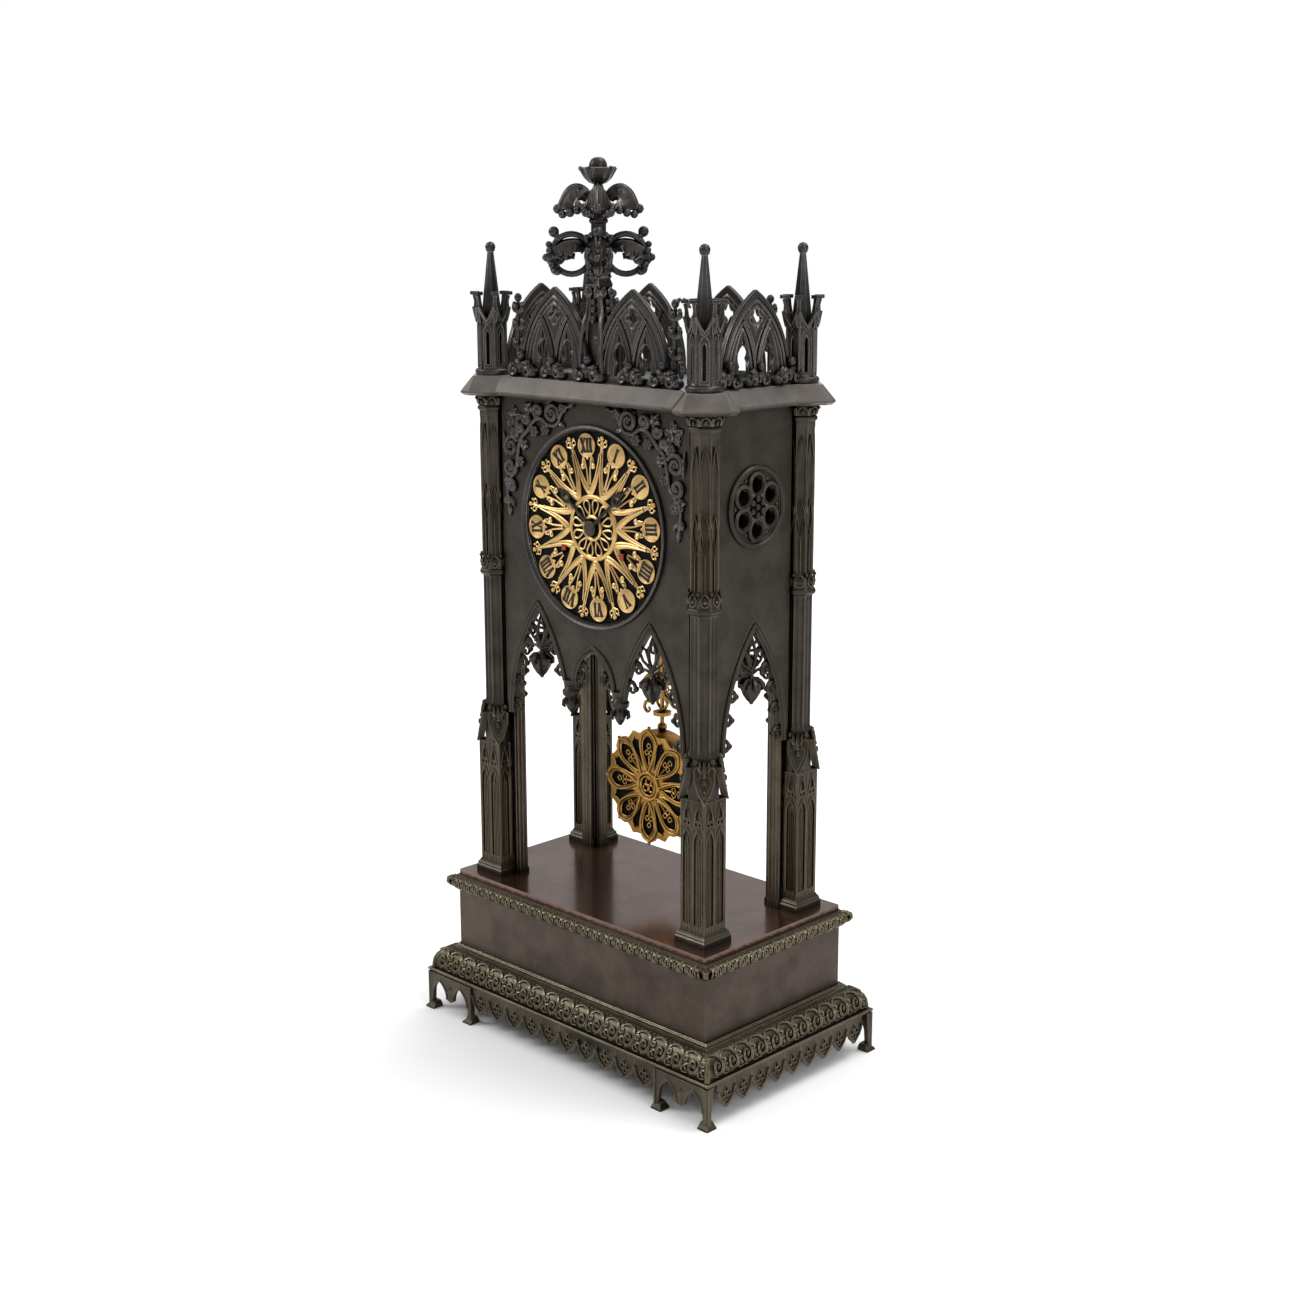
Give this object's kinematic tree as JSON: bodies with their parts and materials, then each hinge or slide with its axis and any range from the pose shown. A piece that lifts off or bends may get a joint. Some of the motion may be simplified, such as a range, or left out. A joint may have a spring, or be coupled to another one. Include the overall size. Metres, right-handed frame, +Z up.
{
  "type": "portico mantel clock",
  "caption": "Gothic revival bronze mantel clock: arcaded case on corner columns with turrets and a finial, openwork gilt dial and a swinging pendulum.",
  "frame": {"origin": "middle of the footprint, on the table", "axes": "+X to the clock's right as seen from the front, +Y to its back, +Z up"},
  "size_m": [0.2432, 0.1486, 0.52],
  "materials": {
    "bronze": "dark patinated bronze",
    "gilt": "fire gilt",
    "movement_brass": "brushed brass",
    "steel": "blued steel",
    "red_bronze": "polished red-brown patina",
    "black": "black enamel",
    "bell_metal": "bell metal"
  },
  "bodies": {
    "case": {"foot_front_left": "bronze", "foot_front_right": "bronze", "foot_back_left": "bronze", "foot_back_right": "bronze", "base_rail": "bronze", "scroll_moulding": "bronze", "plinth_box": "red_bronze", "leaf_moulding": "bronze", "platform": "red_bronze", "column_front_left": "bronze", "column_front_right": "bronze", "column_back_left": "bronze", "column_back_right": "bronze", "post_front_left": "bronze", "post_front_right": "bronze", "post_back_left": "bronze", "post_back_right": "bronze", "front_panel": "bronze", "back_panel": "bronze", "left_panel": "bronze", "right_panel": "bronze", "top_slab": "bronze", "turret_front_left": "bronze", "turret_front_right": "bronze", "turret_back_left": "bronze", "turret_back_right": "bronze", "cresting_front": "bronze", "cresting_back": "bronze", "cresting_left": "bronze", "cresting_right": "bronze", "finial_stem": "bronze", "finial_scrolls": "bronze", "finial_crown": "bronze", "bezel": "bronze", "dial_plate": "black", "gilt_dial": "gilt", "vine_mounts": "bronze", "rear_bezel": "movement_brass", "front_plate": "movement_brass", "back_plate": "movement_brass", "movement_pillars": "movement_brass", "back_cock": "movement_brass", "bell": "bell_metal", "bell_stand": "steel"},
    "minute": {"minute_hand": "steel", "cannon_pinion": "movement_brass"},
    "minute_wheel": {"minute_wheel": "movement_brass"},
    "hour": {"hour_hand": "steel", "hour_wheel": "movement_brass"},
    "escape": {"escape_wheel": "movement_brass"},
    "third": {"third_wheel": "movement_brass"},
    "centre": {"centre_wheel": "movement_brass"},
    "second": {"second_wheel": "movement_brass"},
    "going_barrel": {"going_barrel": "movement_brass"},
    "strike_barrel": {"strike_barrel": "movement_brass"},
    "pendulum": {"pendulum_rod": "gilt", "pendulum_bob": "gilt"},
    "anchor": {"anchor": "steel"},
    "hammer": {"hammer": "steel"},
    "rear_door": {"rear_door": "movement_brass"}
  },
  "joints": [
    {"name": "minute_hand_turn", "type": "hinge", "parent": "case", "child": "minute", "pos_m": [0, 0, 0.3167], "axis": [0, 1, 0], "continuous": true},
    {"name": "minute_wheel_turn", "type": "hinge", "parent": "case", "child": "minute_wheel", "pos_m": [0.00848, 0, 0.32519], "axis": [0, 1, 0], "continuous": true},
    {"name": "hour_hand_turn", "type": "hinge", "parent": "case", "child": "hour", "pos_m": [0, 0, 0.3167], "axis": [0, 1, 0], "continuous": true},
    {"name": "escape_wheel_turn", "type": "hinge", "parent": "case", "child": "escape", "pos_m": [0, 0, 0.3432], "axis": [0, 1, 0], "continuous": true},
    {"name": "third_wheel_turn", "type": "hinge", "parent": "case", "child": "third", "pos_m": [-0.00593, 0, 0.33067], "axis": [0, 1, 0], "continuous": true},
    {"name": "centre_wheel_turn", "type": "hinge", "parent": "case", "child": "centre", "pos_m": [0, 0, 0.3167], "axis": [0, 1, 0], "continuous": true},
    {"name": "second_wheel_turn", "type": "hinge", "parent": "case", "child": "second", "pos_m": [0.01537, 0, 0.32012], "axis": [0, 1, 0], "continuous": true},
    {"name": "going_barrel_turn", "type": "hinge", "parent": "case", "child": "going_barrel", "pos_m": [0.0236, 0, 0.3031], "axis": [0, 1, 0], "continuous": true},
    {"name": "strike_barrel_wind", "type": "hinge", "parent": "case", "child": "strike_barrel", "pos_m": [-0.0236, 0, 0.3031], "axis": [0, 1, 0], "continuous": true},
    {"name": "pendulum_swing", "type": "hinge", "parent": "case", "child": "pendulum", "pos_m": [0, 0, 0.3552], "axis": [0, 1, 0], "range_deg": [-5, 5]},
    {"name": "anchor_rock", "type": "hinge", "parent": "case", "child": "anchor", "pos_m": [0, 0, 0.3552], "axis": [0, 1, 0], "range_deg": [-5, 5]},
    {"name": "hammer_swing", "type": "hinge", "parent": "case", "child": "hammer", "pos_m": [0.033, 0, 0.2977], "axis": [0, -1, 0], "range_deg": [0, 20], "stiffness_Nm_per_rad": 0.01, "springref_deg": -20.05},
    {"name": "rear_door_swing", "type": "hinge", "parent": "case", "child": "rear_door", "pos_m": [-0.0524, 0.0455, 0.3167], "axis": [0, 0, 1], "range_deg": [0, 110]}
  ],
  "couplings": [
    {"joint": "minute_wheel_turn", "follows": "minute_hand_turn", "ratio": -0.33333},
    {"joint": "hour_hand_turn", "follows": "minute_hand_turn", "ratio": 0.083333},
    {"joint": "third_wheel_turn", "follows": "escape_wheel_turn", "ratio": -0.1},
    {"joint": "centre_wheel_turn", "follows": "escape_wheel_turn", "ratio": 0.01},
    {"joint": "second_wheel_turn", "follows": "escape_wheel_turn", "ratio": -0.0016667},
    {"joint": "going_barrel_turn", "follows": "escape_wheel_turn", "ratio": 0.00027778},
    {"joint": "anchor_rock", "follows": "pendulum_swing", "ratio": 1}
  ]
}
